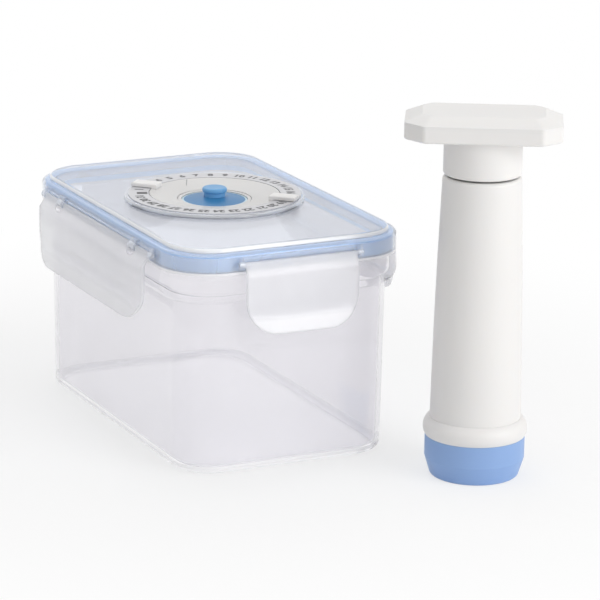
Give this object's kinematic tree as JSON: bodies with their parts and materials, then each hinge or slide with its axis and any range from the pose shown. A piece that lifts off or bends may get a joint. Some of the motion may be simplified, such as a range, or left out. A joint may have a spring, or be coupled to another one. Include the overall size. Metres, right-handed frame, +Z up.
{
  "type": "vacuum food canister with hand pump",
  "caption": "Frosted rectangular food canister with a clear latched lid, a date dial and a release valve, and its hand vacuum pump.",
  "frame": {"origin": "middle of the tub's base face", "axes": "+Z up; the long side lies along Y and the short side at -Y is the front"},
  "size_m": [0.1712, 0.2533, 0.1646],
  "materials": {
    "tub_plastic": "frosted, translucent",
    "lid_plastic": "clear, smooth",
    "gasket_silicone": "satin",
    "latch_plastic": "frosted, translucent",
    "print_film": "smooth, dark grey numbers",
    "dial_plastic": "satin",
    "valve_silicone": "satin",
    "clear_silicone": "satin",
    "foot_silicone": "satin",
    "pump_plastic": "satin",
    "inner_plastic": "smooth",
    "screw_steel": "brushed"
  },
  "bodies": {
    "tub": {"tub": "tub_plastic"},
    "lid": {"lid": "lid_plastic", "lid_gasket": "gasket_silicone", "scale_ring": "print_film", "valve_seat": "dial_plastic", "seat_seal": "clear_silicone"},
    "date_dial": {"date_dial": "dial_plastic"},
    "release_valve": {"valve_disc": "valve_silicone", "valve_knob": "valve_silicone"},
    "latch_front": {"latch_front": "latch_plastic"},
    "latch_rear": {"latch_rear": "latch_plastic"},
    "latch_left": {"latch_left": "latch_plastic"},
    "latch_right": {"latch_right": "latch_plastic"},
    "pump": {"pump_foot": "foot_silicone", "pump_base": "pump_plastic", "inlet_valve": "clear_silicone", "pump_cylinder": "inner_plastic", "pump_sleeve": "pump_plastic", "rod_guide": "inner_plastic"},
    "handle": {"handle_body": "pump_plastic", "handle_cap": "pump_plastic", "handle_screw": "screw_steel", "piston_rod": "inner_plastic", "piston": "inner_plastic", "piston_seal": "clear_silicone", "exhaust_valve": "clear_silicone"}
  },
  "joints": [
    {"name": "lid_lift", "type": "slide", "parent": "tub", "child": "lid", "axis": [0, 0, 1], "range_m": [0, 0.04]},
    {"name": "latch_front_swing", "type": "hinge", "parent": "lid", "child": "latch_front", "pos_m": [0, -0.0911, 0.0972], "axis": [-1, 0, 0], "range_deg": [0, 105]},
    {"name": "latch_rear_swing", "type": "hinge", "parent": "lid", "child": "latch_rear", "pos_m": [0, 0.0911, 0.0972], "axis": [1, 0, 0], "range_deg": [0, 105]},
    {"name": "latch_left_swing", "type": "hinge", "parent": "lid", "child": "latch_left", "pos_m": [-0.0585, 0, 0.0972], "axis": [0, 1, 0], "range_deg": [0, 105]},
    {"name": "latch_right_swing", "type": "hinge", "parent": "lid", "child": "latch_right", "pos_m": [0.0585, 0, 0.0972], "axis": [0, -1, 0], "range_deg": [0, 105]},
    {"name": "date_dial_turn", "type": "hinge", "parent": "lid", "child": "date_dial", "pos_m": [0, 0, 0.1025], "axis": [0, 0, 1], "continuous": true},
    {"name": "valve_pull", "type": "slide", "parent": "lid", "child": "release_valve", "axis": [0, 0, 1], "range_m": [0, 0.002], "stiffness_N_per_m": 400, "springref_m": -0.0005},
    {"name": "pump_lift", "type": "slide", "parent": "tub", "child": "pump", "axis": [0, 0, 1], "range_m": [0, 0.06]},
    {"name": "pump_stroke", "type": "slide", "parent": "pump", "child": "handle", "axis": [0, 0, 1], "range_m": [0, 0.098]}
  ]
}
